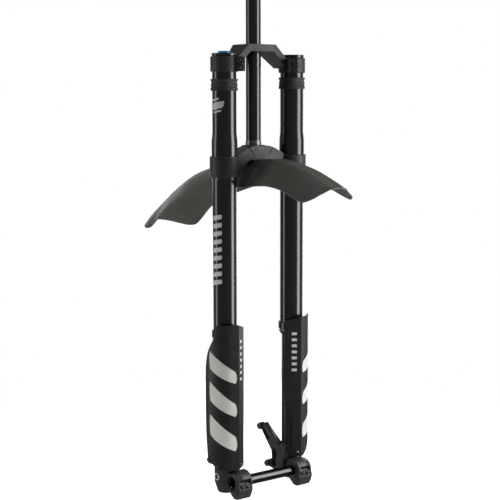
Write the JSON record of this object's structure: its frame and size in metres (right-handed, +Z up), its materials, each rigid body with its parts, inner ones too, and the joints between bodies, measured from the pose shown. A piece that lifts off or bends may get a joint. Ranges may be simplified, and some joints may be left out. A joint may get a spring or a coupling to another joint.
{
  "type": "bicycle suspension fork",
  "caption": "Inverted dual-crown downhill suspension fork with sliding stanchions, guards, mudguard, disc brake posts and a 20 mm through axle.",
  "frame": {"origin": "on the steering axis, at the plane of the crown race seat on the lower crown", "axes": "+Z up along the steerer, +X to the bicycle's left (the brake side), -Y forward"},
  "size_m": [0.2344, 0.604, 0.9575],
  "materials": {
    "satin_black": "satin black paint over aluminium",
    "crown": "dark grey anodised, satin",
    "casting": "black cast and machined, satin",
    "hard_coat": "dark brown hard coat, polished",
    "plastic": "moulded black, fine grain",
    "rubber": "matte black",
    "bolt_steel": "black oxide",
    "bright_steel": "ground and polished",
    "plain_alloy": "machined",
    "bushing": "bronze backed, dark liner",
    "blue_anodised": "blue anodised"
  },
  "bodies": {
    "upper_assembly": {"air_cartridge": "plain_alloy", "air_sealing_head": "plain_alloy", "air_top_cap": "satin_black", "air_valve_cap": "bolt_steel", "compression_valve": "plain_alloy", "damper_cartridge": "plain_alloy", "damper_sealing_head": "plain_alloy", "damper_top_cap": "satin_black", "fender": "plastic", "fender_screw_front_left": "bolt_steel", "fender_screw_front_right": "bolt_steel", "fender_screw_rear_left": "bolt_steel", "fender_screw_rear_right": "bolt_steel", "frame_bumper_left": "rubber", "frame_bumper_right": "rubber", "lower_bushing_left": "bushing", "lower_bushing_right": "bushing", "lower_crown": "crown", "lower_pinch_bolt_left_bottom": "bolt_steel", "lower_pinch_bolt_left_top": "bolt_steel", "lower_pinch_bolt_right_bottom": "bolt_steel", "lower_pinch_bolt_right_top": "bolt_steel", "outer_tube_left": "satin_black", "outer_tube_right": "satin_black", "seal_head_left": "satin_black", "seal_head_right": "satin_black", "steerer_pinch_bolt": "bolt_steel", "steerer_tube": "satin_black", "upper_bushing_left": "bushing", "upper_bushing_right": "bushing", "upper_crown": "crown", "upper_pinch_bolt_left_bottom": "bolt_steel", "upper_pinch_bolt_left_top": "bolt_steel", "upper_pinch_bolt_right_bottom": "bolt_steel", "upper_pinch_bolt_right_top": "bolt_steel", "wiper_seal_left": "rubber", "wiper_seal_right": "rubber"},
    "lower_legs": {"air_piston": "plain_alloy", "air_rod": "bright_steel", "axle_pinch_bolt_left_inner": "bolt_steel", "axle_pinch_bolt_left_outer": "bolt_steel", "axle_pinch_bolt_right_inner": "bolt_steel", "axle_pinch_bolt_right_outer": "bolt_steel", "damper_piston": "plain_alloy", "damper_rod": "bright_steel", "dropout_left": "casting", "dropout_right": "casting", "foot_nut_left": "bolt_steel", "foot_nut_right": "bolt_steel", "guard_left": "plastic", "guard_right": "plastic", "guard_screw_left_front": "bolt_steel", "guard_screw_left_side": "bolt_steel", "guard_screw_right_front": "bolt_steel", "guard_screw_right_side": "bolt_steel", "stanchion_left": "hard_coat", "stanchion_right": "hard_coat"},
    "compression_knob": {"compression_knob": "blue_anodised"},
    "rebound_knob": {"rebound_knob": "blue_anodised"},
    "axle": {"axle": "satin_black"}
  },
  "joints": [
    {"name": "fork_travel", "type": "slide", "parent": "upper_assembly", "child": "lower_legs", "axis": [0, 0, 1], "range_m": [0, 0.203], "stiffness_N_per_m": 2500, "springref_m": -0.02},
    {"name": "compression_turn", "type": "hinge", "parent": "upper_assembly", "child": "compression_knob", "pos_m": [-0.07835, -0.0166, 0.17], "axis": [0, 0, 1], "range_deg": [0, 270]},
    {"name": "rebound_turn", "type": "hinge", "parent": "lower_legs", "child": "rebound_knob", "pos_m": [-0.07835, -0.0166, -0.65], "axis": [0, 0, 1], "range_deg": [0, 270]},
    {"name": "axle_slide", "type": "slide", "parent": "lower_legs", "child": "axle", "axis": [-1, 0, 0], "range_m": [0, 0.19]}
  ]
}
